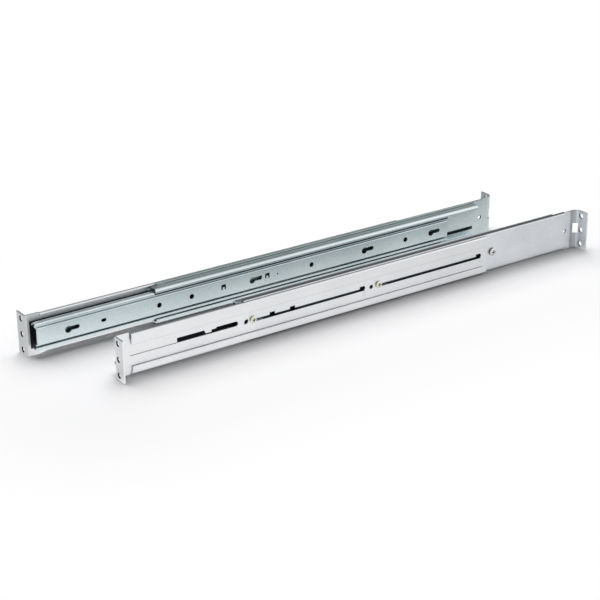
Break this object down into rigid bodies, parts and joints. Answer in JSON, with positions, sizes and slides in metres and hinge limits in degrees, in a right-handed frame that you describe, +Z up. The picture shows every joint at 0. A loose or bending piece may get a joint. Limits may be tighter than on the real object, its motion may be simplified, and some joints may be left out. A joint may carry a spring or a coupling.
{
  "type": "sliding server rail pair",
  "caption": "Pair of ball-bearing slide rails for a 1U rack chassis: flanged brackets adjustable in length, with telescoping outer, middle and inner members",
  "frame": {"origin": "centre of the bounding box in plan, at the underside of the upright rails", "axes": "+X runs back along the rails into the rack, +Y to the left-hand rail, +Z up"},
  "size_m": [0.6116, 0.12, 0.042],
  "materials": {
    "zinc": "bright zinc plate, satin",
    "zinc_rear": "bright zinc plate, satin",
    "slide_zinc": "blue-passivated zinc plate",
    "inner_zinc": "blue-passivated zinc plate",
    "yellow_zinc": "yellow-passivated zinc plate",
    "screw_steel": "plated steel",
    "nut_steel": "plated steel",
    "rivet_steel": "plated steel",
    "cage_steel": "pressed steel strip",
    "ball_steel": "polished bearing steel"
  },
  "bodies": {
    "fixed_rails": {"left_front_bracket": "zinc", "left_outer_member": "slide_zinc", "left_guide_rivets": "rivet_steel", "right_front_bracket": "zinc", "right_outer_member": "slide_zinc", "right_guide_rivets": "rivet_steel"},
    "left_rear": {"left_rear_bracket": "zinc_rear", "left_clamp_screws": "yellow_zinc", "left_clamp_nuts": "nut_steel", "left_support_screw": "screw_steel"},
    "left_middle": {"left_middle_member": "slide_zinc"},
    "left_outer_race": {"left_outer_cage": "cage_steel", "left_outer_balls": "ball_steel"},
    "left_inner_race": {"left_inner_cage": "cage_steel", "left_inner_balls": "ball_steel"},
    "left_inner": {"left_inner_member": "inner_zinc"},
    "right_rear": {"right_rear_bracket": "zinc_rear", "right_clamp_screws": "yellow_zinc", "right_clamp_nuts": "nut_steel", "right_support_screw": "screw_steel"},
    "right_middle": {"right_middle_member": "slide_zinc"},
    "right_outer_race": {"right_outer_cage": "cage_steel", "right_outer_balls": "ball_steel"},
    "right_inner_race": {"right_inner_cage": "cage_steel", "right_inner_balls": "ball_steel"},
    "right_inner": {"right_inner_member": "inner_zinc"}
  },
  "joints": [
    {"name": "left_length_adjust", "type": "slide", "parent": "fixed_rails", "child": "left_rear", "axis": [1, 0, 0], "range_m": [0, 0.118]},
    {"name": "left_middle_slide", "type": "slide", "parent": "fixed_rails", "child": "left_middle", "axis": [-1, 0, 0], "range_m": [0, 0.28]},
    {"name": "left_outer_race_slide", "type": "slide", "parent": "fixed_rails", "child": "left_outer_race", "axis": [-1, 0, 0], "range_m": [0, 0.14]},
    {"name": "left_inner_slide", "type": "slide", "parent": "left_middle", "child": "left_inner", "axis": [-1, 0, 0], "range_m": [0, 0.25]},
    {"name": "left_inner_race_slide", "type": "slide", "parent": "left_middle", "child": "left_inner_race", "axis": [-1, 0, 0], "range_m": [0, 0.125]},
    {"name": "right_length_adjust", "type": "slide", "parent": "fixed_rails", "child": "right_rear", "axis": [1, 0, 0], "range_m": [0, 0.118]},
    {"name": "right_middle_slide", "type": "slide", "parent": "fixed_rails", "child": "right_middle", "axis": [-1, 0, 0], "range_m": [0, 0.28]},
    {"name": "right_outer_race_slide", "type": "slide", "parent": "fixed_rails", "child": "right_outer_race", "axis": [-1, 0, 0], "range_m": [0, 0.14]},
    {"name": "right_inner_slide", "type": "slide", "parent": "right_middle", "child": "right_inner", "axis": [-1, 0, 0], "range_m": [0, 0.25]},
    {"name": "right_inner_race_slide", "type": "slide", "parent": "right_middle", "child": "right_inner_race", "axis": [-1, 0, 0], "range_m": [0, 0.125]}
  ],
  "couplings": [
    {"joint": "left_outer_race_slide", "follows": "left_middle_slide", "ratio": 0.5},
    {"joint": "left_inner_race_slide", "follows": "left_inner_slide", "ratio": 0.5},
    {"joint": "right_outer_race_slide", "follows": "right_middle_slide", "ratio": 0.5},
    {"joint": "right_inner_race_slide", "follows": "right_inner_slide", "ratio": 0.5}
  ]
}
